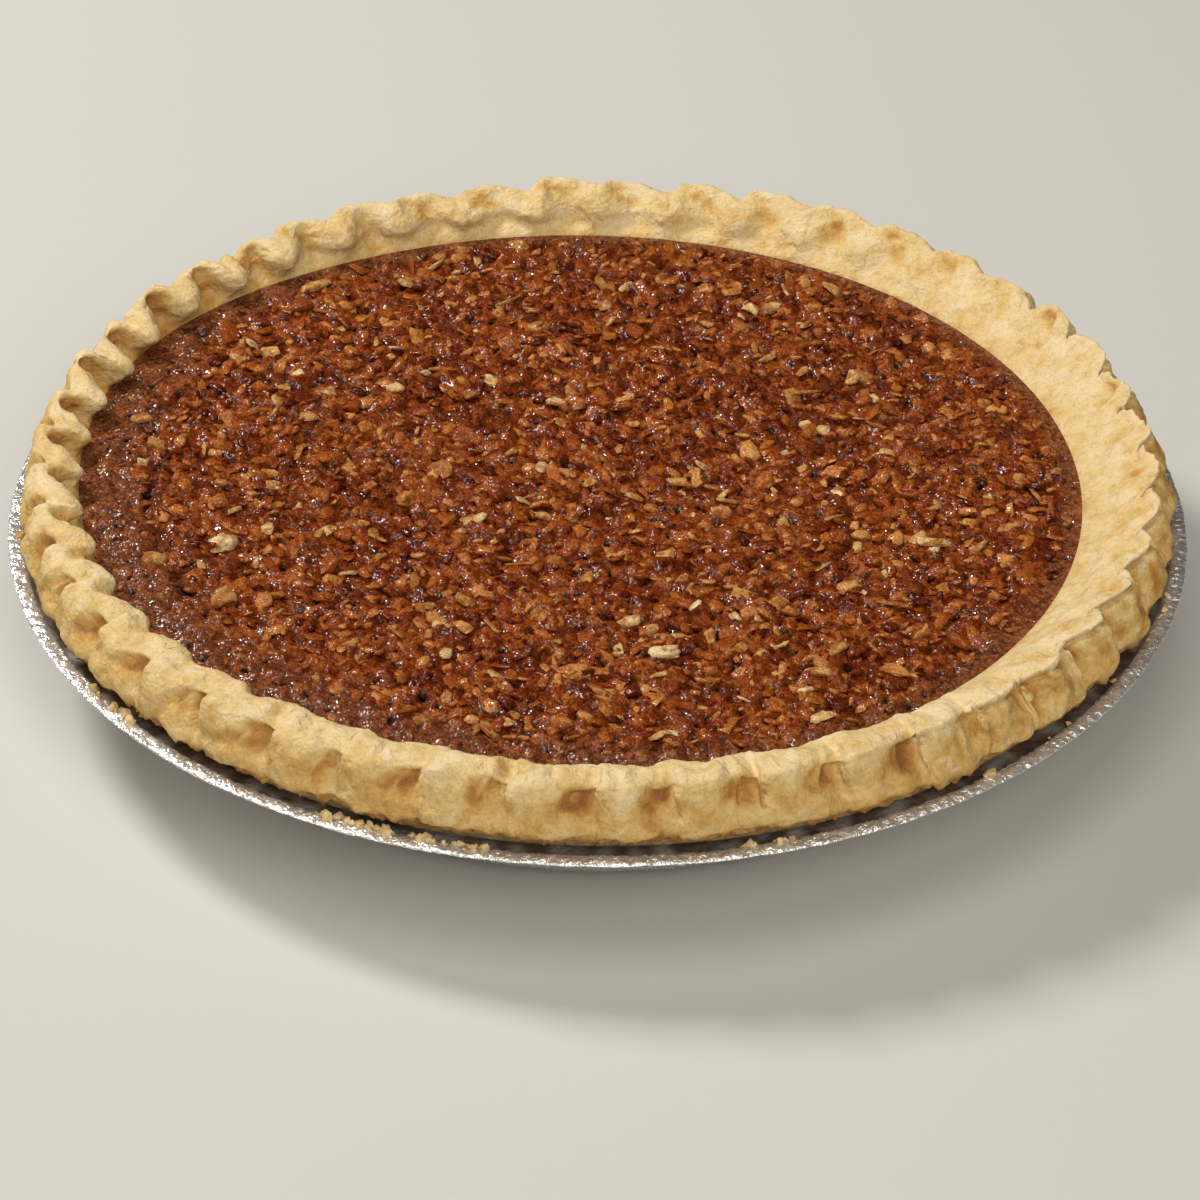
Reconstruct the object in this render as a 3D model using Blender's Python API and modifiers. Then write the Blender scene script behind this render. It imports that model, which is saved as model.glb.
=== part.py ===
"""German chocolate pie in the foil tin that it was baked in.

Three solids: the tin with its rolled rim, the crust with its fluted edge, and the nut filling.
Metres, +Z up. The origin is the centre of the tin's base, on the surface that it stands on.
Azimuth 0 is +X, and azimuths grow towards +Y. A profile point is (radius, height).
"""

import math
import random
from collections import namedtuple

import bmesh
import bpy
from mathutils import Euler, Matrix, Vector, geometry, noise

MM = 0.001
TURN = 2 * math.pi

# The foil tin: a shallow ten-inch pan with sloping sides, a flange and a flattened, rolled bead.
TIN_RADIUS = 122.0 * MM
TIN_HEIGHT = 27.0 * MM
TIN_BASE_RADIUS = 88.0 * MM
TIN_MOUTH_RADIUS = 111.5 * MM
TIN_FOIL = 0.5 * MM
TIN_FILLET = 6.0 * MM
FLANGE_DROP = 2.2 * MM
FLANGE_END = 117.4 * MM
BEAD_WIDTH = 4.0 * MM
BEAD_FLATNESS = 0.45
BEAD_START = math.radians(172.0)
BEAD_END = math.radians(-108.0)
TIN_STEPS = 60
FILLET_STEPS = 2
BEAD_STEPS = 5

# The crust: a shell of even thickness, with a fluted rim that stands on the tin's flange.
CRUST_THICKNESS = 4.0 * MM
GAP = 0.4 * MM
FLANGE_REST = 113.8 * MM
FLUTES = 46
FLUTE_PHASES = (0.0, 0.08, 0.3, 0.5, 0.7, 0.9)
FLUTE_WANDER = 0.05
CREST_DIP_SHARE = 0.37
CREST_WANDER = 0.8 * MM
SHELF_RISE_SHARE = 0.3
LARGE_LOBE = 39
LARGE_LOBE_SCALE = 1.35
SPLIT_FLUTE = 35
SPLIT_PHASE = 0.5
SPLIT_DEPTH = 3.0 * MM

# The flutes are wider on some stretches than on others: flute number, azimuth of its start.
FLUTE_MARKS = (
    (0, -148.3),
    (11, -56.9),
    (15, -28.4),
    (20, 12.3),
    (25, 50.0),
    (32, 106.5),
    (39, 159.8),
    (46, 211.7),
)

# How the rim changes round the pie, by azimuth in degrees: how steep its cross-section is, how
# much wider its crest is (mm), how deep its outer notches and how long its inner lobes are (mm),
# and the shares of a flute in which its outer face comes out and goes back in, and in which its
# inner lobe ends.
RimStyle = namedtuple("RimStyle", "azimuth steep shelf notch lobe rise fall lobe_end")
RIM_STYLES = (
    RimStyle(-180, 1.0, 0.0, 2.8, 3.6, 0.08, 0.80, 0.20),
    RimStyle(-150, 1.0, 1.2, 3.0, 1.8, 0.08, 0.80, 0.30),
    RimStyle(-120, 0.9, 2.5, 3.5, 1.8, 0.08, 0.80, 0.40),
    RimStyle(-60, 0.0, 2.5, 3.5, 1.2, 0.08, 0.80, 0.45),
    RimStyle(-30, 0.0, 0.8, 3.5, 0.8, 0.65, 0.30, 0.50),
    RimStyle(10, 0.0, 0.0, 3.2, 0.8, 0.30, 0.65, 0.50),
    RimStyle(40, 0.0, 0.0, 2.2, 1.2, 0.45, 0.20, 0.50),
    RimStyle(110, 0.9, 0.0, 2.0, 4.0, 0.45, 0.15, 0.45),
    RimStyle(150, 1.0, 0.0, 2.4, 6.5, 0.10, 0.75, 0.30),
    RimStyle(167, 1.0, 0.0, 2.6, 6.0, 0.08, 0.80, 0.25),
    RimStyle(180, 1.0, 0.0, 2.8, 3.6, 0.08, 0.80, 0.20),
)

# The rim's cross-section, which changes from broad on one side of the pie to steep on the other.
# The shares say how far a point follows the outer notches, the inner lobes, the crest's rise and
# fall, and the bulge of the filling.
RimPoint = namedtuple("RimPoint", "broad steep outer_share inner_share crest_share bulge_share")
RIM = (
    RimPoint((116.4, 1.2), (116.6, 1.2), 0.15, 0.0, 0.0, 0.0),
    RimPoint((119.2, 4.0), (119.2, 4.0), 0.45, 0.0, 0.0, 0.0),
    RimPoint((118.3, 8.6), (118.6, 8.6), 1.0, 0.0, 0.3, 0.0),
    RimPoint((116.8, 12.2), (117.2, 12.0), 1.0, 0.0, 0.8, 0.1),
    RimPoint((114.8, 14.2), (114.8, 13.9), 1.0, 0.0, 1.0, 0.3),
    RimPoint((111.6, 13.3), (110.8, 13.4), 0.3, 0.7, 0.8, 0.45),
    RimPoint((107.4, 10.6), (107.6, 10.8), 0.0, 1.0, 0.2, 0.6),
    RimPoint((104.0, 8.0), (108.0, 8.0), 0.0, 0.7, 0.0, 0.8),
)

# The filling: its edge is a circle that lies a little off the tin's centre and bulges at one side.
FILLING_RADIUS = 103.0 * MM
FILLING_CENTRE = (-3.0 * MM, 1.4 * MM)
BULGE_REACH = 4.5 * MM
BULGE_AZIMUTH = math.radians(152.0)
BULGE_SPREAD = math.radians(26.0)
FILLING_EDGE_RISE = 5.8 * MM
FILLING_SWELL = 0.9 * MM
FILLING_SWELL_INSET = 9.0 * MM
FILLING_SAG = 0.9 * MM
FILLING_SKIRT_DROP = 4.5 * MM
FILLING_SKIRT_INSET = 1.2 * MM
FILLING_SIDES = 92
FILLING_SHELL_GAP = 0.8 * MM
RELIEF_POINTS = 700
RELIEF_EDGE = 3.5 * MM
RELIEF_HEIGHT = 1.1 * MM
RELIEF_GRAIN = 6.0 * MM
GOLDEN_ANGLE = math.pi * (3 - math.sqrt(5))

# The nut pieces that stand out of the filling.
CHIPS = 90
CHIP_LENGTH = (5.0 * MM, 8.5 * MM)
CHIP_WIDTH = (3.2 * MM, 4.6 * MM)
CHIP_THICKNESS = 2.6 * MM
CHIP_STANDS_OUT = 0.2 * MM
CHIP_SPACING = 9.6 * MM
CHIP_MARGIN = 9.0 * MM
CHIP_TILT = math.radians(14.0)

SEED = 46

FOIL_COLOUR = (0.70, 0.70, 0.69)
CRUST_COLOUR = (0.74, 0.52, 0.25)
FILLING_COLOUR = (0.20, 0.055, 0.018)


def smooth(low, high, value):
    """0 below low, 1 above high, and a smooth rise between them."""
    share = min(1.0, max(0.0, (value - low) / (high - low)))
    return share * share * (3 - 2 * share)


def mix(first, second, share):
    return first + (second - first) * share


def on_turn(radius, azimuth, height):
    return Vector((radius * math.cos(azimuth), radius * math.sin(azimuth), height))


def ring_at(azimuths, radius, height):
    return [on_turn(radius, azimuth, height) for azimuth in azimuths]


def arc(centre, radius, start, end, steps, flatness=1.0):
    """Profile points along an arc, both ends included; flatness is its height over its width."""
    points = []
    for i in range(steps + 1):
        angle = mix(start, end, i / steps)
        across = radius * math.cos(angle)
        up = radius * flatness * math.sin(angle)
        points.append((centre[0] + across, centre[1] + up))
    return points


def make_material(name, colour, roughness, metallic=0.0):
    material = bpy.data.materials.new(name)
    material.use_nodes = True
    shader = material.node_tree.nodes["Principled BSDF"]
    shader.inputs["Base Color"].default_value = (*colour, 1.0)
    shader.inputs["Roughness"].default_value = roughness
    shader.inputs["Metallic"].default_value = metallic
    return material


def make_object(name, mesh, collection, material=None):
    made = bpy.data.objects.new(name, mesh)
    collection.objects.link(made)
    if material:
        mesh.materials.append(material)
    return made


def make_collection(name):
    made = bpy.data.collections.new(name)
    bpy.context.scene.collection.children.link(made)
    return made


# ---------------------------------------------------------------- the tin


WALL_SLOPE = math.atan2(
    TIN_HEIGHT - FLANGE_DROP - TIN_FOIL, TIN_MOUTH_RADIUS - TIN_BASE_RADIUS
)
FLANGE_TOP = TIN_HEIGHT - FLANGE_DROP


def wall_radius(height, inset):
    """Radius, at a height, of the cone that lies the inset inside the tin's wall."""
    along = (height - TIN_FOIL) / math.tan(WALL_SLOPE)
    return TIN_BASE_RADIUS + along - inset / math.sin(WALL_SLOPE)


def tin_fillet(inset):
    """The rounded corner between the base and the wall, the inset inside the tin's own."""
    reach = TIN_FILLET * math.tan(WALL_SLOPE / 2)
    centre = (TIN_BASE_RADIUS - reach, TIN_FOIL + TIN_FILLET)
    start = -math.pi / 2
    return arc(centre, TIN_FILLET - inset, start, start + WALL_SLOPE, FILLET_STEPS)


def tin_profile():
    """The upper face of the foil, from the middle of the base to the end of the bead."""
    half = BEAD_WIDTH / 2
    middle = (TIN_RADIUS - half, TIN_HEIGHT - half * BEAD_FLATNESS)
    bead = arc(middle, half, BEAD_START, BEAD_END, BEAD_STEPS, BEAD_FLATNESS)
    flange = [(TIN_MOUTH_RADIUS, FLANGE_TOP), (FLANGE_END, FLANGE_TOP)]
    return [(0.0, TIN_FOIL)] + tin_fillet(0.0) + flange + bead


def make_tin(collection):
    """The profile is turned once round the axis, and the foil's thickness lies below it."""
    points = tin_profile()
    mesh = bpy.data.meshes.new("tin")
    edges = [(i, i + 1) for i in range(len(points) - 1)]
    mesh.from_pydata([(radius, 0.0, height) for radius, height in points], edges, [])
    foil = make_material("foil", FOIL_COLOUR, 0.3, 1.0)
    tin = make_object("tin", mesh, collection, foil)
    screw = tin.modifiers.new("turn", "SCREW")
    screw.axis = "Z"
    screw.angle = TURN
    screw.steps = TIN_STEPS
    screw.render_steps = TIN_STEPS
    screw.use_merge_vertices = True
    screw.merge_threshold = 0.00001
    screw.use_smooth_shade = True
    solidify = tin.modifiers.new("foil", "SOLIDIFY")
    solidify.thickness = TIN_FOIL
    solidify.offset = -1.0
    solidify.use_even_offset = True
    return tin


# ---------------------------------------------------------------- the crust


Flute = namedtuple("Flute", "start end depth lift")


def flute_azimuth(number):
    """Azimuth of a place on the rim, counted in flutes."""
    for (low, start), (high, end) in zip(FLUTE_MARKS, FLUTE_MARKS[1:]):
        if number <= high:
            break
    return math.radians(mix(start, end, (number - low) / (high - low)))


def flute_table():
    """Flutes are pressed by hand, so no two have the same width, depth and height."""
    draw = random.Random(SEED)
    starts = [k + FLUTE_WANDER * draw.uniform(-1, 1) for k in range(FLUTES)]
    starts.append(FLUTES + starts[0])
    flutes = []
    for start, end in zip(starts, starts[1:]):
        depth = draw.uniform(0.8, 1.15)
        lift = CREST_WANDER * draw.uniform(-1, 1)
        flutes.append(Flute(flute_azimuth(start), flute_azimuth(end), depth, lift))
    return flutes


def rim_style(azimuth):
    """The rim's form at an azimuth, blended from the nearest two entries of the table."""
    degrees = (math.degrees(azimuth) + 180) % 360 - 180
    for near, far in zip(RIM_STYLES, RIM_STYLES[1:]):
        if degrees <= far.azimuth:
            break
    share = (degrees - near.azimuth) / (far.azimuth - near.azimuth)
    return RimStyle(*(mix(first, second, share) for first, second in zip(near, far)))


def outer_wave(phase, style):
    """0 where the outer face stands out, and 1 in the notch where a flute starts."""
    return 1 - smooth(0, style.rise, phase) * (1 - smooth(1 - style.fall, 1, phase))


def inner_wave(phase, style):
    """1 at the tip of the inner lobe where a flute starts, and 0 in the hollow after it."""
    if phase < style.lobe_end:
        return 1 - smooth(0, style.lobe_end, phase)
    return smooth(style.lobe_end, 1, phase)


def bulge(azimuth):
    """How far the filling's edge bulges at an azimuth."""
    away = (azimuth - BULGE_AZIMUTH + math.pi) % TURN - math.pi
    return BULGE_REACH * math.exp(-((away / BULGE_SPREAD) ** 2))


def filling_edge(azimuth):
    """Radius of the filling's edge about the tin's axis."""
    along = FILLING_CENTRE[0] * math.cos(azimuth) + FILLING_CENTRE[1] * math.sin(azimuth)
    across = FILLING_CENTRE[0] * math.sin(azimuth) - FILLING_CENTRE[1] * math.cos(azimuth)
    return along + math.sqrt(FILLING_RADIUS ** 2 - across ** 2) + bulge(azimuth)


def rim_rings(flutes):
    """The rings of the fluted rim, from its lower lip over the crest to the filling's edge."""
    rings = [[] for _ in range(len(RIM) + 1)]
    for number, flute in enumerate(flutes):
        for phase in FLUTE_PHASES:
            azimuth = mix(flute.start, flute.end, phase)
            style = rim_style(azimuth)
            wave = outer_wave(phase, style) * flute.depth
            notch = style.notch * MM * wave
            lobe = style.lobe * MM * (inner_wave(phase, style) - 0.5)
            if round(number + phase) == LARGE_LOBE:
                lobe *= LARGE_LOBE_SCALE
            inward = lobe + style.shelf * MM
            lift = flute.lift - CREST_DIP_SHARE * notch
            if (number, phase) == (SPLIT_FLUTE, SPLIT_PHASE):
                lift -= SPLIT_DEPTH
            for ring, point in zip(rings, RIM):
                radius = mix(point.broad[0], point.steep[0], style.steep) * MM
                height = mix(point.broad[1], point.steep[1], style.steep) * MM
                radius -= point.outer_share * notch + point.inner_share * inward
                radius += point.bulge_share * bulge(azimuth)
                height += point.crest_share * lift
                height += point.inner_share * SHELF_RISE_SHARE * style.shelf * MM
                ring.append(on_turn(radius, azimuth, TIN_HEIGHT + height))
            contact = filling_edge(azimuth) + GAP
            rings[-1].append(on_turn(contact, azimuth, TIN_HEIGHT + FILLING_EDGE_RISE))
    return rings


def skirt_radius(azimuth, inset):
    """Radius of the hidden joint between the rim and the shell, under the filling's edge."""
    height = TIN_HEIGHT + FILLING_EDGE_RISE - FILLING_SKIRT_DROP
    shell = wall_radius(FLANGE_TOP, GAP + CRUST_THICKNESS)
    return min(shell, filling_edge(azimuth) - FILLING_SKIRT_INSET) - inset, height


def crust_rings(flutes):
    """Every ring of the crust, from the middle of its underside to the middle of its floor."""
    azimuths = [flute.start for flute in flutes]
    outside = [ring_at(azimuths, radius, height) for radius, height in tin_fillet(GAP)]
    mouth = TIN_MOUTH_RADIUS - GAP * math.tan(WALL_SLOPE / 2)
    outside.append(ring_at(azimuths, mouth, FLANGE_TOP + GAP))
    outside.append(ring_at(azimuths, FLANGE_REST, FLANGE_TOP + GAP))
    inset = GAP + CRUST_THICKNESS
    skirt = []
    for azimuth in azimuths:
        radius, height = skirt_radius(azimuth, 0.0)
        skirt.append(on_turn(radius, azimuth, height))
    floor_height = TIN_FOIL + inset
    floor = ring_at(azimuths, wall_radius(floor_height, inset), floor_height)
    return outside + rim_rings(flutes) + [skirt, floor]


def close_band(shell, low, high):
    """Faces between two rings; one may have a whole multiple of the other's points."""
    if len(low) == len(high):
        for i in range(len(low)):
            j = (i + 1) % len(low)
            shell.faces.new((low[i], low[j], high[j], high[i]))
        return
    fine, coarse = (low, high) if len(low) > len(high) else (high, low)
    step = len(fine) // len(coarse)
    for i, near in enumerate(coarse):
        far = coarse[(i + 1) % len(coarse)]
        corners = [fine[(i * step + k) % len(fine)] for k in range(step + 1)]
        triangles = [(corners[step // 2], far, near)]
        for k in range(step):
            triangles.append((corners[k], corners[k + 1], near if k < step // 2 else far))
        for triangle in triangles:
            shell.faces.new(triangle if fine is low else triangle[::-1])


def loft_mesh(name, rings, first_height, last_height):
    """A closed surface through the rings, capped by a fan at each end."""
    shell = bmesh.new()
    loops = [[shell.verts.new(point) for point in ring] for ring in rings]
    for low, high in zip(loops, loops[1:]):
        close_band(shell, low, high)
    first = shell.verts.new((0.0, 0.0, first_height))
    last = shell.verts.new((0.0, 0.0, last_height))
    for i, corner in enumerate(loops[0]):
        shell.faces.new((first, loops[0][(i + 1) % len(loops[0])], corner))
    for i, corner in enumerate(loops[-1]):
        shell.faces.new((last, corner, loops[-1][(i + 1) % len(loops[-1])]))
    mesh = bpy.data.meshes.new(name)
    shell.to_mesh(mesh)
    shell.free()
    return mesh


def make_crust(collection):
    rings = crust_rings(flute_table())
    underside = TIN_FOIL + GAP
    mesh = loft_mesh("crust", rings, underside, underside + CRUST_THICKNESS)
    mesh.shade_smooth()
    mesh.set_sharp_from_angle(angle=math.radians(50))
    pastry = make_material("pastry", CRUST_COLOUR, 0.8)
    return make_object("crust", mesh, collection, pastry)


# ---------------------------------------------------------------- the filling


def filling_height(x, y):
    """The baked surface: it swells a little near the edge and sags in the middle."""
    radius = math.hypot(x, y)
    inset = filling_edge(math.atan2(y, x)) - radius
    swell = FILLING_SWELL * smooth(0.0, FILLING_SWELL_INSET, inset)
    sag = (FILLING_SAG + FILLING_SWELL) * smooth(FILLING_RADIUS * 0.1, FILLING_RADIUS, inset)
    level = TIN_HEIGHT + FILLING_EDGE_RISE + swell - sag
    bumps = noise.noise(Vector((x, y, 0.0)) / RELIEF_GRAIN) + noise.noise(
        Vector((x, y, 1.0)) * 2 / RELIEF_GRAIN
    )
    return level + RELIEF_HEIGHT * bumps * smooth(0.0, RELIEF_EDGE, inset)


def surface_points():
    """The edge ring, then points inside it in a sunflower pattern, all as (x, y)."""
    points = []
    for i in range(FILLING_SIDES):
        azimuth = TURN * i / FILLING_SIDES
        points.append(on_turn(filling_edge(azimuth), azimuth, 0.0).to_2d())
    for i in range(RELIEF_POINTS):
        azimuth = i * GOLDEN_ANGLE
        reach = math.sqrt((i + 0.5) / RELIEF_POINTS)
        edge = filling_edge(azimuth) - RELIEF_EDGE
        points.append(on_turn(edge * reach, azimuth, 0.0).to_2d())
    return points


def filling_core_mesh():
    """A bumpy top over a plain body that fits the crust's hollow."""
    flat = surface_points()
    rim = [(i, (i + 1) % FILLING_SIDES) for i in range(FILLING_SIDES)]
    corners, _, triangles, *_ = geometry.delaunay_2d_cdt(flat, rim, [], 1, 1e-7)
    body = bmesh.new()
    top = [body.verts.new((x, y, filling_height(x, y))) for x, y in corners]
    for triangle in triangles:
        body.faces.new([top[i] for i in triangle])
    inset = GAP + CRUST_THICKNESS + FILLING_SHELL_GAP
    floor_height = TIN_FOIL + inset
    floor_radius = wall_radius(floor_height, inset)
    skirt = []
    floor = []
    for i in range(FILLING_SIDES):
        azimuth = TURN * i / FILLING_SIDES
        radius, height = skirt_radius(azimuth, FILLING_SHELL_GAP)
        skirt.append(body.verts.new(on_turn(radius, azimuth, height)))
        floor.append(body.verts.new(on_turn(floor_radius, azimuth, floor_height)))
    close_band(body, floor, skirt)
    close_band(body, skirt, top[:FILLING_SIDES])
    body.faces.new(floor[::-1])
    bmesh.ops.recalc_face_normals(body, faces=body.faces)
    mesh = bpy.data.meshes.new("filling")
    body.to_mesh(mesh)
    body.free()
    return mesh


def chip_places():
    """Places for nut pieces, spread over the surface and never closer than their spacing."""
    draw = random.Random(SEED)
    places = []
    while len(places) < CHIPS:
        azimuth = draw.uniform(0, TURN)
        reach = math.sqrt(draw.uniform(0, 1)) * (filling_edge(azimuth) - CHIP_MARGIN)
        spot = on_turn(reach, azimuth, 0.0)
        if all((spot - other).length > CHIP_SPACING for other in places):
            places.append(spot)
    return places


def make_chips(collection):
    """Flat, rounded nut pieces, half sunk in the surface."""
    draw = random.Random(SEED + 1)
    for i, spot in enumerate(chip_places()):
        size = Vector((draw.uniform(*CHIP_LENGTH), draw.uniform(*CHIP_WIDTH), CHIP_THICKNESS))
        spin = Euler(
            (
                draw.uniform(-CHIP_TILT, CHIP_TILT),
                draw.uniform(-CHIP_TILT, CHIP_TILT),
                draw.uniform(0, math.pi),
            )
        )
        spot.z = filling_height(spot.x, spot.y) + CHIP_STANDS_OUT
        chip = bmesh.new()
        place = Matrix.LocRotScale(spot, spin, size / 2)
        bmesh.ops.create_icosphere(chip, subdivisions=1, radius=1.0, matrix=place)
        mesh = bpy.data.meshes.new(f"chip_{i}")
        chip.to_mesh(mesh)
        chip.free()
        make_object(f"chip_{i}", mesh, collection)


def fuse(target, collection):
    """Join every object of the collection to the target, and remove the loose ones."""
    union = target.modifiers.new("toppings", "BOOLEAN")
    union.operation = "UNION"
    union.operand_type = "COLLECTION"
    union.collection = collection
    union.solver = "EXACT"
    graph = bpy.context.evaluated_depsgraph_get()
    joined = bpy.data.meshes.new_from_object(target.evaluated_get(graph))
    target.modifiers.clear()
    target.data = joined
    for chip in list(collection.objects):
        bpy.data.objects.remove(chip)
    bpy.data.collections.remove(collection)


def make_filling(collection):
    caramel = make_material("caramel", FILLING_COLOUR, 0.25)
    filling = make_object("filling", filling_core_mesh(), collection, caramel)
    toppings = make_collection("toppings")
    make_chips(toppings)
    fuse(filling, toppings)
    filling.data.shade_smooth()
    filling.data.set_sharp_from_angle(angle=math.radians(40))
    return filling


def main():
    for old in list(bpy.data.objects):
        bpy.data.objects.remove(old)
    pie = make_collection("german_chocolate_pie")
    make_tin(pie)
    make_crust(pie)
    make_filling(pie)


main()
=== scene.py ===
"""German chocolate pie in its foil tin: the visual model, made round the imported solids.

Lengths are in millimetres until a mesh is made. A profile point is (radius, height above the
tin's rim). Azimuth 0 is +X, and azimuths grow towards +Y.
"""

import itertools
import random
from math import atan, atan2, cos, pi, radians, sin, tan

import bpy
import numpy as np
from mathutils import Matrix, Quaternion, Vector, noise as blender_noise


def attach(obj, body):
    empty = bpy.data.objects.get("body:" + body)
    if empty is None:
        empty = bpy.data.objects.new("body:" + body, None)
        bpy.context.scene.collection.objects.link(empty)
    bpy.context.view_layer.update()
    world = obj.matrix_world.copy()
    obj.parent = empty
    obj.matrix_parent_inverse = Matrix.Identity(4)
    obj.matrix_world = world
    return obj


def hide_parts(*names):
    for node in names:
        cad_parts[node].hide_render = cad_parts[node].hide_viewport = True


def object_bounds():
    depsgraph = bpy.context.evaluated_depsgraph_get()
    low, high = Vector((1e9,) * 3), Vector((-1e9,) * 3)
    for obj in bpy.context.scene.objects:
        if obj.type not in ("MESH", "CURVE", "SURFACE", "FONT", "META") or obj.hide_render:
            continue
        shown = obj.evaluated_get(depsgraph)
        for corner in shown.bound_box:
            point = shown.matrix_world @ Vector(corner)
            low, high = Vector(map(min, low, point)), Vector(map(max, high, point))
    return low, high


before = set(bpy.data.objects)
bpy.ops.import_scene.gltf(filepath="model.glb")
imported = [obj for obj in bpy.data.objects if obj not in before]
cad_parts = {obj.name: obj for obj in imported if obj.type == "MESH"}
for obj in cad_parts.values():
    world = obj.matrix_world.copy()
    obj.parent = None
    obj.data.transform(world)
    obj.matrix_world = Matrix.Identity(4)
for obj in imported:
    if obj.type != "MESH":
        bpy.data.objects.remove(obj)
CAD_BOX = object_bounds()

SCENE = bpy.context.scene
MM = 0.001
TURN = 2 * pi
SEED = 46

# ---- sizes that the solids share

TIN_RADIUS = 122.0
TIN_HEIGHT = 27.0
TIN_BASE_RADIUS = 88.0
TIN_MOUTH_RADIUS = 111.5
TIN_FOIL = 0.5
TIN_FILLET = 6.0
FLANGE_DROP = 2.2
FLANGE_END = 117.4
BEAD_WIDTH = 4.0
BEAD_FLATNESS = 0.45

GAP = 0.4
CRUST_THICKNESS = 4.0
FLUTES = 46
FLUTE_WANDER = 0.05
CREST_DIP_SHARE = 0.37
CREST_WANDER = 0.8
SHELF_RISE_SHARE = 0.3
LARGE_LOBE = 39
LARGE_LOBE_SCALE = 1.35
SPLIT = 35.55
SPLIT_WIDTH = 0.13
SPLIT_DEPTH = 3.6
FLUTE_PHASES = (0, 11, 15, 20, 25, 32, 39, 46)
FLUTE_AZIMUTHS = (-148.3, -56.9, -28.4, 12.3, 50.0, 106.5, 159.8, 211.7)

# The rim's form by azimuth in degrees, as in the solids: how steep its outside is, the reach of its
# ledge, the depth of notches, the length of inner lobes, and the shares of a flute over which a
# notch rises and falls and after which a lobe has ended.
STYLE_COLUMNS = "steep shelf notch lobe rise fall lobe_end".split()
RIM_STYLES = (
    (-180, 1.0, 0.0, 2.8, 3.6, 0.08, 0.8, 0.2),
    (-150, 1.0, 1.2, 3.0, 1.8, 0.08, 0.8, 0.3),
    (-120, 0.9, 2.5, 3.5, 1.8, 0.08, 0.8, 0.4),
    (-60, 0.0, 2.5, 3.5, 1.2, 0.08, 0.8, 0.45),
    (-30, 0.0, 0.8, 3.5, 0.8, 0.65, 0.3, 0.5),
    (10, 0.0, 0.0, 3.2, 0.8, 0.3, 0.65, 0.5),
    (40, 0.0, 0.0, 2.2, 1.2, 0.45, 0.2, 0.5),
    (110, 0.9, 0.0, 2.0, 4.0, 0.45, 0.15, 0.45),
    (150, 1.0, 0.0, 2.4, 6.5, 0.1, 0.75, 0.3),
    (167, 1.0, 0.0, 2.6, 6.0, 0.08, 0.8, 0.25),
    (180, 1.0, 0.0, 2.8, 3.6, 0.08, 0.8, 0.2),
)
# The strength of finer marks by azimuth: pinched pockets and overlapping leaves outside, dents and
# hollows between lobes inside; and how far below the crest the pockets end.
MARK_COLUMNS = "pinch crack dent hollow brow".split()
RIM_MARKS = (
    (-180, 0.6, 0.0, 0.0, 0.9, 0.5),
    (-150, 1.0, 0.0, 0.0, 0.3, 0.45),
    (-115, 1.0, 0.0, 0.0, 0.0, 0.4),
    (-98, 1.0, 0.0, 0.0, 0.0, 0.05),
    (-74, 1.0, 0.0, 0.0, 0.0, -0.1),
    (-56, 0.95, 0.2, 0.0, 0.0, -0.15),
    (-44, 0.45, 0.9, 0.2, 0.0, -0.1),
    (-34, 0.0, 1.0, 0.3, 0.0, 0.0),
    (-15, 0.0, 1.0, 0.6, 0.0, 0.0),
    (10, 0.0, 0.8, 0.6, 0.0, 0.0),
    (40, 0.0, 0.1, 0.9, 0.0, 0.0),
    (110, 0.0, 0.0, 1.0, 0.0, 0.0),
    (150, 0.0, 0.0, 0.0, 1.0, 0.5),
    (180, 0.6, 0.0, 0.0, 0.9, 0.5),
)

FILLING_RADIUS = 103.0
FILLING_CENTRE = (-3.0, 1.4)
BULGE_REACH = 4.5
BULGE_AZIMUTH = radians(152.0)
BULGE_SPREAD = radians(26.0)
FILLING_EDGE_RISE = 5.8
FILLING_SWELL = 0.9
FILLING_SWELL_INSET = 9.0
FILLING_SAG = 0.9
FILLING_SKIRT_DROP = 4.5
RELIEF_EDGE = 3.5
RELIEF_HEIGHT = 1.1
RELIEF_GRAIN = 6.0

WALL_SLOPE = atan2(TIN_HEIGHT - FLANGE_DROP - TIN_FOIL, TIN_MOUTH_RADIUS - TIN_BASE_RADIUS)
FLANGE_TOP = TIN_HEIGHT - FLANGE_DROP


# ---- plain helpers


def smooth(low, high, value):
    """0 below low, 1 above high, and a smooth rise between them."""
    share = np.clip((value - low) / (high - low), 0.0, 1.0)
    return share * share * (3 - 2 * share)


def mix(first, second, share):
    return first + (second - first) * share


def plateau(start, full, easing, end, value):
    """A smooth rise to 1 from start to full, and a fall back to 0 from easing to end."""
    return smooth(start, full, value) * (1 - smooth(easing, end, value))


def bell(centre, width, value):
    return np.exp(-(((value - centre) / width) ** 2))


def pack(*columns):
    return np.stack(columns, axis=-1)


def unit(vectors):
    return vectors / np.maximum(np.linalg.norm(vectors, axis=-1, keepdims=True), 1e-9)


_tables = np.random.default_rng(SEED)
PERMUTATION = np.tile(_tables.permutation(256), 3)
GRADIENTS = unit(_tables.normal(size=(256, 3)))
JITTER = _tables.random((256, 2))


def noise(points, size, layer=0):
    """Smooth noise, about -1 to 1, with lumps of the given size."""
    place = np.asarray(points, float) / size + 17.3 * layer
    cell = np.floor(place).astype(np.int64)
    inside = place - cell
    fade = inside ** 3 * (inside * (inside * 6 - 15) + 10)
    total = 0.0
    for corner in itertools.product((0, 1), repeat=3):
        at = (cell + corner) & 255
        index = PERMUTATION[PERMUTATION[PERMUTATION[at[..., 0]] + at[..., 1]] + at[..., 2]]
        slope = np.sum(GRADIENTS[index] * (inside - corner), axis=-1)
        total = total + slope * np.prod(np.where(corner, fade, 1 - fade), axis=-1)
    return 1.7 * total


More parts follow.
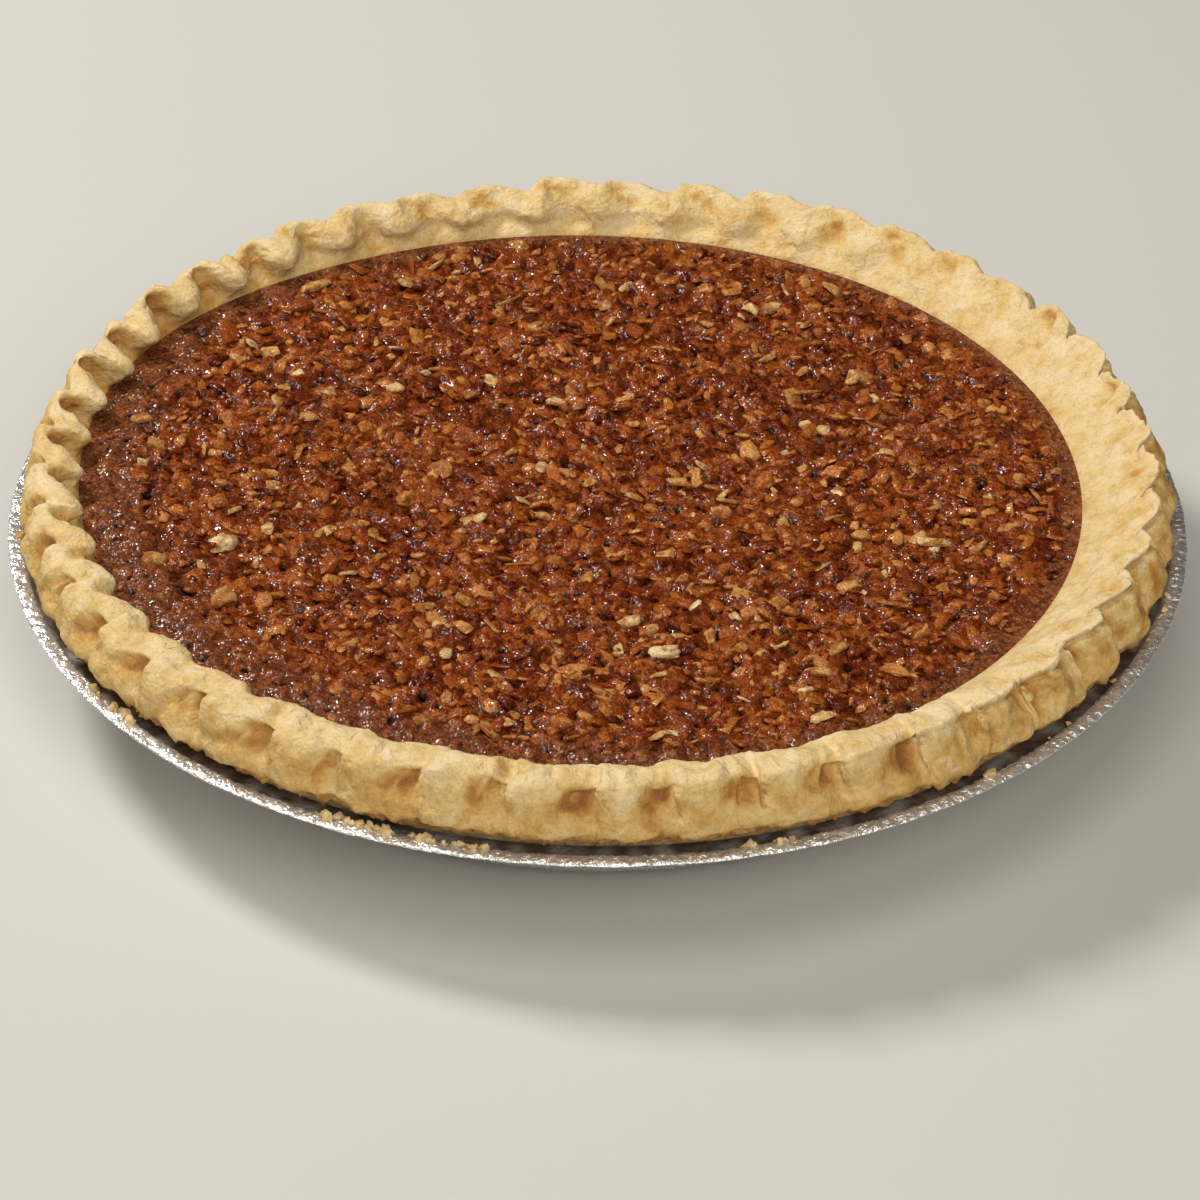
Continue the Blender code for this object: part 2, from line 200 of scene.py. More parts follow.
def cells(flat, size, layer=0, stretch=1.0):
    """For each flat point, its offset from the nearest scattered seed, and that seed's number.

    With a stretch, nearness is measured so that each seed's cell is long and lies its own way.
    """
    place = flat / size
    base = np.floor(place).astype(np.int64)
    nearest = np.full(len(flat), 9.0)
    offset = np.zeros_like(place)
    number = np.zeros(len(flat), int)
    for step in itertools.product((-1, 0, 1), repeat=2):
        cell = base + step
        at = (cell + 31 * layer) & 255
        index = PERMUTATION[PERMUTATION[at[:, 0]] + at[:, 1]]
        away = place - cell - JITTER[index]
        lie = TURN * JITTER[index][:, ::-1].sum(axis=1)
        along = away[:, 0] * np.cos(lie) + away[:, 1] * np.sin(lie)
        across = away[:, 1] * np.cos(lie) - away[:, 0] * np.sin(lie)
        own = pack(along / stretch, across * stretch)
        distance = np.linalg.norm(own, axis=-1)
        closer = distance < nearest
        nearest[closer] = distance[closer]
        offset[closer] = own[closer]
        number[closer] = index[closer]
    return offset * size, number


def on_turn(radius, azimuth, height):
    """Points from radii, azimuths and heights above the tin's rim."""
    radius, azimuth, height = np.broadcast_arrays(radius, azimuth, height)
    return pack(radius * np.cos(azimuth), radius * np.sin(azimuth), height + TIN_HEIGHT)


def arc(centre, radius, start, end, steps, flatness=1.0):
    points = []
    for angle in np.linspace(start, end, steps + 1):
        across, up = radius * cos(angle), radius * flatness * sin(angle)
        points.append((centre[0] + across, centre[1] + up))
    return points


def wall_radius(height, inset):
    along = (height - TIN_FOIL) / tan(WALL_SLOPE)
    return TIN_BASE_RADIUS + along - inset / sin(WALL_SLOPE)


def tin_fillet(inset, steps):
    """The rounded corner between base and wall, as (radius, height above the table)."""
    reach = TIN_FILLET * tan(WALL_SLOPE / 2)
    centre = (TIN_BASE_RADIUS - reach, TIN_FOIL + TIN_FILLET)
    return arc(centre, TIN_FILLET - inset, -pi / 2, -pi / 2 + WALL_SLOPE, steps)


def add_object(name, data):
    thing = bpy.data.objects.new(name, data)
    SCENE.collection.objects.link(thing)
    return thing


def make_piece(name, points, faces, material, node=None, marks=None, sharp=None):
    """A mesh object from points in millimetres; marks are numbers that its material reads."""
    mesh = bpy.data.meshes.new(name)
    mesh.vertices.add(len(points))
    mesh.vertices.foreach_set("co", (np.asarray(points) * MM).astype(np.float32).ravel())
    corners = np.concatenate([part.ravel() for part in faces])
    counts = np.concatenate([np.full(len(part), part.shape[1]) for part in faces])
    starts = np.concatenate(([0], np.cumsum(counts)[:-1]))
    mesh.loops.add(len(corners))
    mesh.loops.foreach_set("vertex_index", corners.astype(np.int32))
    mesh.polygons.add(len(counts))
    mesh.polygons.foreach_set("loop_start", starts.astype(np.int32))
    mesh.update(calc_edges=True)
    mesh.shade_smooth()
    if sharp:
        mesh.set_sharp_from_angle(angle=radians(sharp))
    for key, values in (marks or {}).items():
        mark = mesh.attributes.new(key, "FLOAT", "POINT")
        mark.data.foreach_set("value", np.asarray(values, np.float32).ravel())
    mesh.materials.append(material)
    piece = add_object(name, mesh)
    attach(piece, "root")
    if node:
        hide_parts(node)
    return piece


def band_faces(rows, columns):
    """Quads of a closed band: rows of points, each row running once round."""
    row = np.arange(rows - 1)[:, None] * columns
    column = np.arange(columns)[None, :]
    following = (column + 1) % columns
    quads = (row + column, row + following, row + columns + following, row + columns + column)
    return pack(*np.broadcast_arrays(*quads)).reshape(-1, 4)


def fan_faces(ring, middle, upward):
    following = np.roll(ring, -1)
    middle = np.full(len(ring), middle)
    return pack(ring, following, middle) if upward else pack(following, ring, middle)


def closed_faces(rows, columns):
    """A band whose first and last rows are closed by fans round two further points."""
    ring = np.arange(columns)
    last = (rows - 1) * columns
    return (
        band_faces(rows, columns),
        fan_faces(ring, rows * columns, False),
        fan_faces(ring + last, rows * columns + 1, True),
    )


# ---- material nodes


def new_material(name, **constants):
    material = bpy.data.materials.new(name)
    material.use_nodes = True
    tree = material.node_tree
    shader = tree.nodes["Principled BSDF"]
    for socket, value in constants.items():
        shader.inputs[socket.replace("_", " ")].default_value = value
    return material, tree, shader


def add(tree, kind, inputs=None, **settings):
    """A node; an input is a number, a colour or another node's output."""
    node = tree.nodes.new("ShaderNode" + kind)
    for setting, value in settings.items():
        setattr(node, setting, value)
    for key, value in (inputs or {}).items():
        if isinstance(value, bpy.types.NodeSocket):
            tree.links.new(value, node.inputs[key])
        else:
            node.inputs[key].default_value = value
    return node


def grain(tree, size, detail=3.0, distortion=0.0):
    """Noise whose lumps have the given size in millimetres."""
    place = add(tree, "TexCoord").outputs["Object"]
    inputs = {"Vector": place, "Scale": 1 / (size * MM), "Detail": detail, "Distortion": distortion}
    return add(tree, "TexNoise", inputs).outputs["Fac"]


def maths(tree, operation, first, second=0.0, third=0.0, clamp=False):
    node = add(tree, "Math", {0: first, 1: second, 2: third}, operation=operation, use_clamp=clamp)
    return node.outputs[0]


def sum_of(tree, base, value, factor, clamp=False):
    """The base plus the value times the factor."""
    return maths(tree, "MULTIPLY_ADD", value, factor, base, clamp)


def centred_grain(tree, *size_and_detail):
    return maths(tree, "SUBTRACT", grain(tree, *size_and_detail), 0.5)


def feed(shader, **sources):
    for socket, source in sources.items():
        shader.id_data.links.new(source, shader.inputs[socket.replace("_", " ")])


def ramp(tree, value, stops):
    """Colours along a value; a stop is (place, colour or grey)."""
    node = add(tree, "ValToRGB", {"Fac": value})
    elements = node.color_ramp.elements
    while len(elements) < len(stops):
        elements.new(0.5)
    for element, (place, colour) in zip(elements, stops):
        element.position = place
        grey = isinstance(colour, (int, float))
        element.color = (colour, colour, colour, 1.0) if grey else (*colour, 1.0)
    return node.outputs["Color"]


def blend_colours(tree, share, first, second, kind="MIX"):
    inputs = {0: share, 6: first, 7: second}
    return add(tree, "Mix", inputs, data_type="RGBA", blend_type=kind).outputs[2]


def bump(tree, height, distance, strength=1.0, normal=None):
    inputs = {"Height": height, "Distance": distance * MM, "Strength": strength}
    if normal is not None:
        inputs["Normal"] = normal
    return add(tree, "Bump", inputs).outputs["Normal"]


def mark(tree, name):
    return add(tree, "Attribute", attribute_name=name).outputs["Fac"]


# ---- materials

# Colours along each material's own scale of browning and painted shade, grease and painted shade,
# glaze or tint.
PASTRY = (
    (0.0, (0.81, 0.64, 0.37)),
    (0.22, (0.74, 0.535, 0.235)),
    (0.45, (0.62, 0.375, 0.108)),
    (0.72, (0.44, 0.205, 0.045)),
    (1.0, (0.28, 0.115, 0.03)),
)
FRECKLES = ((0.3, (0.72, 0.6, 0.46)), (0.46, (1.0, 1.0, 1.0)))
FOIL_STOPS = ((0.3, (0.86, 0.85, 0.83)), (0.7, (0.95, 0.94, 0.92)))
GREASE_AND_PAINTED_SHADE_STOPS = ((0.35, (0.03, 0.012, 0.003)), (0.7, (0.15, 0.08, 0.03)))
CAKE_STOPS = ((0.42, (0.11, 0.03, 0.009)), (0.64, (0.34, 0.14, 0.06)))
GLAZE = (0.27, 0.06, 0.007, 1.0)
COATED = (
    (0.0, (0.05, 0.003, 0.0005)),
    (0.35, (0.165, 0.023, 0.0025)),
    (0.65, (0.38, 0.095, 0.014)),
    (1.0, (0.62, 0.28, 0.085)),
)
AMBER = (
    (0.0, (0.23, 0.042, 0.004)),
    (0.5, (0.44, 0.13, 0.019)),
    (1.0, (0.66, 0.33, 0.09)),
)
GOLDEN = (
    (0.0, (0.32, 0.105, 0.018)),
    (0.5, (0.58, 0.31, 0.095)),
    (1.0, (0.84, 0.64, 0.34)),
)


def pastry_material():
    """Shortcrust: cream on the ridges, browning and painted shade in the hollows, a floury crumbly
    surface.
    """
    material, tree, shader = new_material("baked_shortcrust", Specular_IOR_Level=0.35)
    # The mark is partly browning and partly painted shade in pockets, creases and hollows.
    baked = sum_of(tree, mark(tree, "toast_and_painted_shade"), centred_grain(tree, 7.0, 2.0), 0.7)
    baked = sum_of(tree, baked, centred_grain(tree, 2.2, 4.0, 0.8), 0.65)
    colour = ramp(tree, baked, PASTRY)
    freckle = ramp(tree, grain(tree, 0.55, 5.0), FRECKLES)
    colour = blend_colours(tree, 0.6, colour, freckle, "MULTIPLY")
    rough = ramp(tree, baked, ((0.1, 0.86), (0.8, 0.62)))
    crumbs = bump(tree, grain(tree, 0.8, 5.0), 0.32, 0.9)
    lumps = bump(tree, grain(tree, 2.6, 4.0, 0.5), 1.0, 0.9, crumbs)
    feed(shader, Base_Color=colour, Roughness=rough, Normal=lumps)
    return material


def foil_material():
    """Thin aluminium with soft creases; a film of grease and painted shade where the film mark
    says.
    """
    material, tree, shader = new_material("crinkled_foil", Specular_IOR_Level=0.15)
    creases = grain(tree, 1.5, 3.0, 0.5)
    foil = ramp(tree, grain(tree, 9.0, 3.0), FOIL_STOPS)
    # The film is dark brown and less metallic: baked grease, and painted shade under the crust's
    # lip.
    grease_and_painted_shade = ramp(tree, grain(tree, 3.0, 4.0), GREASE_AND_PAINTED_SHADE_STOPS)
    film = maths(tree, "MULTIPLY", mark(tree, "film"), 0.95, clamp=True)
    colour = blend_colours(tree, film, foil, grease_and_painted_shade)
    rough = ramp(tree, creases, ((0.3, 0.18), (0.7, 0.34)))
    rough = sum_of(tree, rough, film, 0.25, clamp=True)
    bare = sum_of(tree, 0.8, film, -0.8, clamp=True)
    fine = bump(tree, grain(tree, 0.7, 2.0), 0.12, 0.8)
    creased = bump(tree, creases, 0.8, 0.9, fine)
    feed(shader, Base_Color=colour, Roughness=rough, Metallic=bare, Normal=creased)
    return material


def caramel_material(name, stops, roughness, gloss, cover=0.3):
    """Baked caramel over nuts: tinted by bit, partly glazed brown, and wet only in specks."""
    material, tree, shader = new_material(
        name, Coat_Roughness=0.045, Coat_IOR=1.75, Specular_IOR_Level=0.05
    )
    mottle = centred_grain(tree, 1.5, 3.0)
    tint = sum_of(tree, mark(tree, "tint"), mottle, 0.85)
    tint = sum_of(tree, tint, centred_grain(tree, 0.45, 2.0), 1.2)
    tint = sum_of(tree, tint, centred_grain(tree, 11.0, 2.0), 0.35)
    colour = ramp(tree, tint, stops)
    covered = ramp(tree, grain(tree, 2.4, 3.0), ((0.44, 0.0), (0.6, cover)))
    colour = blend_colours(tree, covered, colour, GLAZE)
    pale = mark(tree, "cake")
    speckle = ramp(tree, grain(tree, 0.9, 4.0), CAKE_STOPS)
    colour = blend_colours(tree, maths(tree, "MULTIPLY", pale, 0.6, clamp=True), colour, speckle)
    # Painted shade: darker where the depth mark says the bed is sunk, in pores, the crease and low
    # places.
    shade = sum_of(tree, 1.0, mark(tree, "depth"), -1.3, clamp=True)
    colour = blend_colours(tree, 1.0, colour, shade, "MULTIPLY")
    rough = sum_of(tree, sum_of(tree, roughness, pale, 0.2), mottle, 0.25, clamp=True)
    wet = ramp(tree, grain(tree, 0.55, 2.0), ((0.48, 0.0), (0.55, 1.0)))
    pools = ramp(tree, grain(tree, 4.5, 2.0), ((0.38, 0.25), (0.58, 1.0)))
    film = maths(tree, "MULTIPLY", maths(tree, "MULTIPLY", wet, pools), gloss)
    wrinkled = bump(tree, grain(tree, 1.5, 2.0), 0.8, 0.9)
    sugary = bump(tree, grain(tree, 0.5, 3.0), 0.32, 1.0, wrinkled)
    wet_skin = bump(tree, grain(tree, 0.6, 1.0), 0.15, 0.9, wrinkled)
    feed(shader, Base_Color=colour, Roughness=rough, Normal=sugary)
    feed(shader, Coat_Weight=film, Coat_Normal=wet_skin)
    return material


# ---- the crust

HIDDEN_TOAST = 0.3
LOBE_PLUMPNESS = 0.65
LOBE_ROUNDING = 1.0
SEAM_WIDTH = 0.11
SEAM_DIP = 1.3
RIM_PHASES = np.concatenate((np.linspace(0, 0.08, 6)[:-1], np.linspace(0.08, 1, 24)[:-1]))
# A control point: broad (radius, height), steep (radius, height), its shares of the outer notches,
# inner lobes, crest's rise and fall and filling's bulge, and the rows up to the next point.
RIM_CONTROLS = (
    ((113.8, -1.8), (113.8, -1.8), 0.0, 0.0, 0.0, 0.0, 2),
    ((113.4, 0.3), (113.4, 0.3), 0.0, 0.0, 0.0, 0.0, 3),
    ((115.9, 0.8), (116.1, 0.8), 0.15, 0.0, 0.0, 0.0, 3),
    ((117.2, 1.6), (117.4, 1.6), 0.2, 0.0, 0.0, 0.0, 6),
    ((119.2, 4.0), (119.2, 4.0), 0.45, 0.0, 0.0, 0.0, 8),
    ((118.3, 8.6), (118.6, 8.6), 1.0, 0.0, 0.3, 0.0, 8),
    ((116.8, 12.2), (117.2, 12.0), 1.0, 0.0, 0.8, 0.1, 10),
    ((114.8, 14.2), (114.8, 13.9), 1.0, 0.0, 1.0, 0.3, 8),
    ((111.6, 13.3), (110.8, 13.4), 0.3, 0.7, 0.8, 0.45, 8),
    ((107.4, 10.6), (107.6, 10.8), 0.0, 1.0, 0.2, 0.6, 6),
    ((104.0, 8.0), (108.0, 8.0), 0.0, 0.7, 0.0, 0.8, 5),
)
# The crest eases off below the solid's own top, so that no crumb stands above it.
TOP_LIMIT = CAD_BOX[1][2] / MM
TOP_EASE = 0.4
LIP, BELLY, FACE, BROW, CREST, SHOULDER, SLOPE, FOOT = 3, 4, 5, 6, 7, 8, 9, 10


def bulge(azimuth):
    away = (azimuth - BULGE_AZIMUTH + pi) % TURN - pi
    return BULGE_REACH * bell(0.0, BULGE_SPREAD, away)


def filling_edge(azimuth):
    """Radius, about the tin's axis, of the filling's off-centre edge."""
    along = FILLING_CENTRE[0] * np.cos(azimuth) + FILLING_CENTRE[1] * np.sin(azimuth)
    across = FILLING_CENTRE[0] * np.sin(azimuth) - FILLING_CENTRE[1] * np.cos(azimuth)
    return along + np.sqrt(FILLING_RADIUS ** 2 - across ** 2) + bulge(azimuth)


def flute_azimuth(number):
    """Azimuth of a place on the rim, counted in flutes; it may lie just outside the table."""
    phases, degrees = np.array(FLUTE_PHASES, float), np.array(FLUTE_AZIMUTHS)
    k = np.clip(np.searchsorted(phases, number, side="left") - 1, 0, len(phases) - 2)
    share = (number - phases[k]) / (phases[k + 1] - phases[k])
    return np.radians(mix(degrees[k], degrees[k + 1], share))


class Rim:
    """Every column of the rim: which flute it belongs to, and how the rim is shaped there."""

    def __init__(self):
        draw = random.Random(SEED)
        starts = [k + FLUTE_WANDER * draw.uniform(-1, 1) for k in range(FLUTES)]
        starts = flute_azimuth(np.array(starts + [FLUTES + starts[0]]))
        varied = [(draw.uniform(0.8, 1.15), draw.uniform(-1, 1)) for _ in range(FLUTES)]
        depth, lift = np.array(varied).T
        lift = lift * CREST_WANDER
        flute = np.repeat(np.arange(FLUTES), len(RIM_PHASES))
        phase = np.tile(RIM_PHASES, FLUTES)
        self.phase = phase
        self.number = flute + phase
        self.azimuth = mix(starts[flute], starts[flute + 1], phase)
        degrees = (np.degrees(self.azimuth) + 180) % 360 - 180
        for names, table in ((STYLE_COLUMNS, RIM_STYLES), (MARK_COLUMNS, RIM_MARKS)):
            azimuths, *columns = zip(*table)
            for name, column in zip(names, columns):
                setattr(self, name, np.interp(degrees, azimuths, column))
        turn_over = smooth(0.8, 1.0, phase)
        depth = mix(depth[flute], np.roll(depth, -1)[flute], turn_over)
        lift = mix(lift[flute], np.roll(lift, -1)[flute], turn_over)
        outer = 1 - smooth(0, 1, phase / self.rise) * (1 - smooth(1 - self.fall, 1, phase))
        falling = 1 - smooth(0, 1, phase / self.lobe_end)
        inner = np.where(phase < self.lobe_end, falling, smooth(self.lobe_end, 1, phase))
        inner = mix(inner, inner ** LOBE_PLUMPNESS, self.hollow)
        self.notch_depth = self.notch * outer * depth
        softer = 1 - smooth(0, 1, phase / 0.3) * (1 - smooth(0.7, 1, phase))
        self.low_depth = mix(self.notch_depth, self.notch * softer * depth, self.pinch)
        self.lobe_reach = self.lobe * (inner - 0.5)
        self.lobe_reach[np.round(self.number) == LARGE_LOBE] *= LARGE_LOBE_SCALE
        self.split = bell(SPLIT, SPLIT_WIDTH, self.number)
        self.lift = lift - CREST_DIP_SHARE * self.notch_depth - SPLIT_DEPTH * self.split
        self.lift += LOBE_ROUNDING * (inner - 0.5) * self.hollow
        seam = bell(0.0, SEAM_WIDTH, (phase + 0.5) % 1.0 - 0.5)
        self.lift -= SEAM_DIP * seam * (self.crack + 0.5 * self.pinch)
        self.chance = np.random.default_rng(SEED).random((6, FLUTES))[:, flute]


def rim_controls(rim):
    """Control points of every column, as an array of (control, column, radius and height)."""
    controls = []
    swell = bulge(rim.azimuth)
    for index, (broad, steep, outer, inner, crest, bulging, _) in enumerate(RIM_CONTROLS):
        if index == CREST:
            outer = outer * (1 - 0.45 * rim.pinch)
        notch = mix(rim.low_depth, rim.notch_depth, np.clip((index - BELLY) / 3, 0, 1))
        radius = mix(broad[0], steep[0], rim.steep) - outer * notch
        radius = radius - inner * (rim.lobe_reach + rim.shelf) + bulging * swell
        height = mix(broad[1], steep[1], rim.steep) + crest * rim.lift
        height = height + inner * SHELF_RISE_SHARE * rim.shelf
        controls.append(pack(radius, height))
    edge = filling_edge(rim.azimuth)
    for inset, height in ((0.1, FILLING_EDGE_RISE), (1.6, FILLING_EDGE_RISE - FILLING_SKIRT_DROP)):
        controls.append(pack(edge - inset, np.full_like(edge, height)))
    return np.array(controls)


def splined(controls, steps):
    """Rows of points on a smooth curve through the controls, and each row's place among them."""
    chords = np.linalg.norm(np.diff(controls, axis=0), axis=-1).mean(axis=1)
    tangents = [(controls[1] - controls[0]) / chords[0]]
    for k in range(1, len(controls) - 1):
        tangents.append((controls[k + 1] - controls[k - 1]) / (chords[k] + chords[k - 1]))
    tangents.append((controls[-1] - controls[-2]) / chords[-1])
    rows, places = [], []
    for k, count in enumerate(steps):
        for t in np.arange(count) / count:
            rows.append(
                (2 * t ** 3 - 3 * t ** 2 + 1) * controls[k]
                + (t ** 3 - 2 * t ** 2 + t) * chords[k] * tangents[k]
                + (3 * t ** 2 - 2 * t ** 3) * controls[k + 1]
                + (t ** 3 - t ** 2) * chords[k] * tangents[k + 1]
            )
            places.append(k + t)
    rows.append(controls[-1])
    places.append(len(controls) - 1)
    return np.array(rows), np.array(places)[:, None]


def grid_normals(points):
    """Outward normals of a band of points, row by row."""
    along = np.roll(points, -1, axis=1) - np.roll(points, 1, axis=1)
    up = np.gradient(points, axis=0)
    return unit(np.cross(along, up))


def rim_details(rim, place, points):
    """How far each point stands out, for pinches, cracks, dents and crumbs, and how dark it is from
    browning and painted shade.
    """
    u, chance = rim.phase, rim.chance
    pinch, crack, dent, hollow = rim.pinch, rim.crack, rim.dent, rim.hollow
    vary = noise(on_turn(20.0, rim.azimuth, 0.0), 1.6, 5)
    blotch = noise(points, 3.2, 6)

    # Outside at the front: a thumb's pocket, wider below and deepest at its steep far side, and in
    # some flutes a soft ridge across it.
    wander = noise(on_turn(40.0, rim.azimuth, 0.0), 2.2, 21)
    low = BELLY + 0.1 + 0.6 * chance[2]
    brow = CREST - rim.brow + 0.1 * vary + 0.16 * wander - 0.4 * smooth(0.45, 0.0, u)
    rise = np.clip((place - low) / (brow - low), 0, 1)
    far = 0.95 - 0.03 * (1 - rise) + 0.02 * blotch
    width = 0.22 + (0.4 + 0.22 * chance[1]) * (1 - rise) ** 0.8
    along = np.clip((u - far + width) / width, 0, 1)
    pocket = smooth(0.0, 0.65, along) * (1 - smooth(far - 0.03, far + 0.06, u)) * pinch
    pocket = pocket * smooth(0.0, 0.55, rise) * (1 - smooth(brow - 0.35, brow + 0.3, place))
    ridge = bell(far - 0.12 - 0.2 * (1 - rise) + 0.02 * vary, 0.045, u) * pocket
    ridge = ridge * (chance[4] > 0.4)
    cheek = bell(0.09, 0.08, (u + 0.5) % 1.0 - 0.5) * smooth(LIP, BELLY, place)
    cheek = cheek * (1 - smooth(brow, CREST + 0.4, place))
    stand = -(1.4 + 1.0 * chance[3]) * pocket + 1.1 * ridge + 0.7 * cheek * pinch
    # The pocket is darkened, partly browning and partly painted shade in its hollow; less so along
    # the ridge.
    toast_and_painted_shade = pocket * (0.24 + 0.16 * chance[5] + 0.2 * blotch) - 0.2 * ridge
    middle = smooth(-2.0, -1.75, rim.azimuth) * pinch
    oval = bell(0.74 + 0.1 * (chance[0] - 0.5), 0.19, u) * bell(BROW - 0.1, 1.3, place) * middle
    stand -= 0.6 * oval
    # The oval dents are darkened the same way: browning and painted shade.
    toast_and_painted_shade += (0.14 + 0.24 * chance[5] + 0.15 * blotch) * oval

    # Outside at the right: flutes that overlap along curved creases, under a thin ragged crest.
    bow = 0.1 * np.sin((place - BELLY) * 1.05) + 0.015 * vary
    on_face = plateau(BELLY - 0.8, FACE - 0.2, CREST - 0.45, CREST - 0.15, place)
    overlap = (u - 0.02 - bow) % 1.0
    leaf = 2.5 * overlap ** 1.6 - 1.0 - 1.1 * bell(0.0, 0.05, overlap)
    fold_at = 0.3 + 0.35 * chance[0]
    fold = plateau(0.0, 0.05, 0.1, 0.35, overlap - fold_at) * (chance[1] > 0.35)
    stand += on_face * crack * (leaf + 0.9 * fold)
    # Painted shade in each crease and fold, over a little browning and blotching.
    painted_crease_shade = bell(0.0, 0.07, overlap) + 0.6 * bell(fold_at, 0.04, overlap) * (chance[1] > 0.35)
    toast_and_painted_shade += on_face * crack * (0.42 * painted_crease_shade + 0.06 + 0.2 * blotch)
    around = on_turn(115.0, rim.azimuth, 0.0)
    jag = 0.8 * noise(around, 3.4, 23) + noise(around, 1.5, 17) + 0.5 * noise(around, 0.7, 18)
    edge = bell(CREST - 0.1, 0.2, place) * crack
    stand += edge * (1.3 + 1.1 * jag + 1.1 * leaf)
    stand -= 1.5 * bell(CREST - 0.55, 0.22, place) * crack

    # The crest's inner edge at the front and right: uneven, with small flakes.
    uneven = 0.9 * noise(around, 4.5, 24) + 0.6 * noise(around, 1.7, 25)
    uneven += 0.3 * noise(around, 0.8, 26)
    stand += uneven * bell(CREST + 0.7, 0.6, place) * np.clip(pinch + crack, 0, 1)

    # Inside at the back: slanting scoops where the crust was pinched, sharp at the near side.
    slant = 0.52 + 0.14 * (chance[0] - 0.5) - 0.16 * (place - SHOULDER - 0.4) + 0.03 * vary
    inside = plateau(CREST - 0.1, SHOULDER - 0.3, SLOPE - 0.5, SLOPE + 0.5, place)
    pit = np.where(u < slant, bell(slant, 0.07, u), bell(slant, 0.2 + 0.08 * chance[1], u))
    pit = pit * inside * dent * (0.45 + 0.75 * chance[2])
    stand -= 1.5 * pit
    # The scoops are darkened, partly browning and partly painted shade.
    toast_and_painted_shade += pit * (0.38 + 0.35 * blotch)

    # Inside at the left: a pocket behind each overhanging lobe, darkened by browning and by painted
    # shade under the lobe, with the foot darker there too.
    behind = plateau(CREST + 0.25, SHOULDER + 0.1, FOOT - 0.8, FOOT + 0.2, place)
    deep = bell(rim.lobe_end + 0.03, 0.13, u) * behind * hollow
    stand -= 1.9 * deep
    stand += 0.6 * bell(0.93, 0.18, u) * behind * hollow
    toast_and_painted_shade += (0.55 + 0.35 * chance[3]) * deep
    toast_and_painted_shade += 0.35 * hollow * smooth(FOOT - 1, FOOT + 0.5, place)

    # Crumbly lip, lumps and broken flakes all over.
    lip = plateau(LIP - 1.2, LIP - 0.2, LIP + 0.1, LIP + 0.9, place)
    under_lip = plateau(LIP - 2, LIP - 1, LIP, LIP + 1, place)
    lip_side = plateau(LIP - 1.2, LIP, BELLY + 0.3, FACE + 0.5, place)
    ragged = noise(points, 2.1, 1) + 0.8 * noise(points, 0.9, 2)
    shown = plateau(LIP - 1, LIP, FOOT, FOOT + 1, place)
    flaky = noise(points * (1, 1, 2.5), 2.4, 4)
    flakes = np.clip(4 * noise(points * (1, 1, 1.6), 4.5, 22), -1, 1)
    lumps = 0.55 * noise(points, 5.0, 3) + 0.3 * np.abs(flaky) * (1 - 0.6 * crack)
    lumps += 0.13 * noise(points, 0.9, 7) + 0.14 * flakes - 0.16
    lumps += (pinch + crack) * noise(points, 6.0, 20) * lip_side
    stand += 1.1 * ragged * lip + shown * lumps
    # Browned lip; the outside darker low down and under the lip, from browning and painted shade.
    toast_and_painted_shade += 0.15 * lip * (1 + ragged) + 0.22 * (1 - smooth(FACE, CREST, place)) * (place > LIP)
    toast_and_painted_shade += 0.25 * under_lip - 0.15 * edge
    toast_and_painted_shade += 0.5 * rim.split * bell(SHOULDER, 1.0, place)
    toast_and_painted_shade += 0.1 * smooth(FOOT - 0.5, FOOT + 1, place) + 0.06 * blotch
    return stand, np.clip(toast_and_painted_shade + 0.13, 0.0, 1.0)


def make_crust(material):
    rim = Rim()
    columns = len(rim.azimuth)
    controls = rim_controls(rim)
    steps = [control[-1] for control in RIM_CONTROLS] + [2]
    rows, place = splined(controls, steps)
    points = on_turn(rows[..., 0], rim.azimuth, rows[..., 1])
    stand, toast_and_painted_shade = rim_details(rim, place, points)
    points = points + grid_normals(points) * stand[..., None]
    over = np.maximum(0.0, points[..., 2] - (TOP_LIMIT - TOP_EASE))
    points[..., 2] -= over - TOP_EASE * (1 - np.exp(-over / TOP_EASE))

    under = tin_fillet(GAP, 2)
    under.append((TIN_MOUTH_RADIUS - GAP * tan(WALL_SLOPE / 2), FLANGE_TOP + GAP))
    under = [on_turn(radius, rim.azimuth, height - TIN_HEIGHT) for radius, height in under]
    inset = GAP + CRUST_THICKNESS
    floor_height = TIN_FOIL + inset
    floor = on_turn(wall_radius(floor_height, inset), rim.azimuth, floor_height - TIN_HEIGHT)
    grid = np.concatenate((np.array(under), points, floor[None]))
    marks = np.full(grid.shape[:2], HIDDEN_TOAST)
    marks[len(under):-1] = toast_and_painted_shade
    faces = closed_faces(len(grid), columns)
    middles = ((0, 0, TIN_FOIL + GAP), (0, 0, floor_height))
    vertices = np.concatenate((grid.reshape(-1, 3), middles))
    marks = {"toast_and_painted_shade": np.concatenate((marks.ravel(), (HIDDEN_TOAST, HIDDEN_TOAST)))}
    make_piece("crust_fluted", vertices, faces, material, "crust", marks)


# ---- the tin

TIN_COLUMNS = 1600
BEAD_STEPS = 14


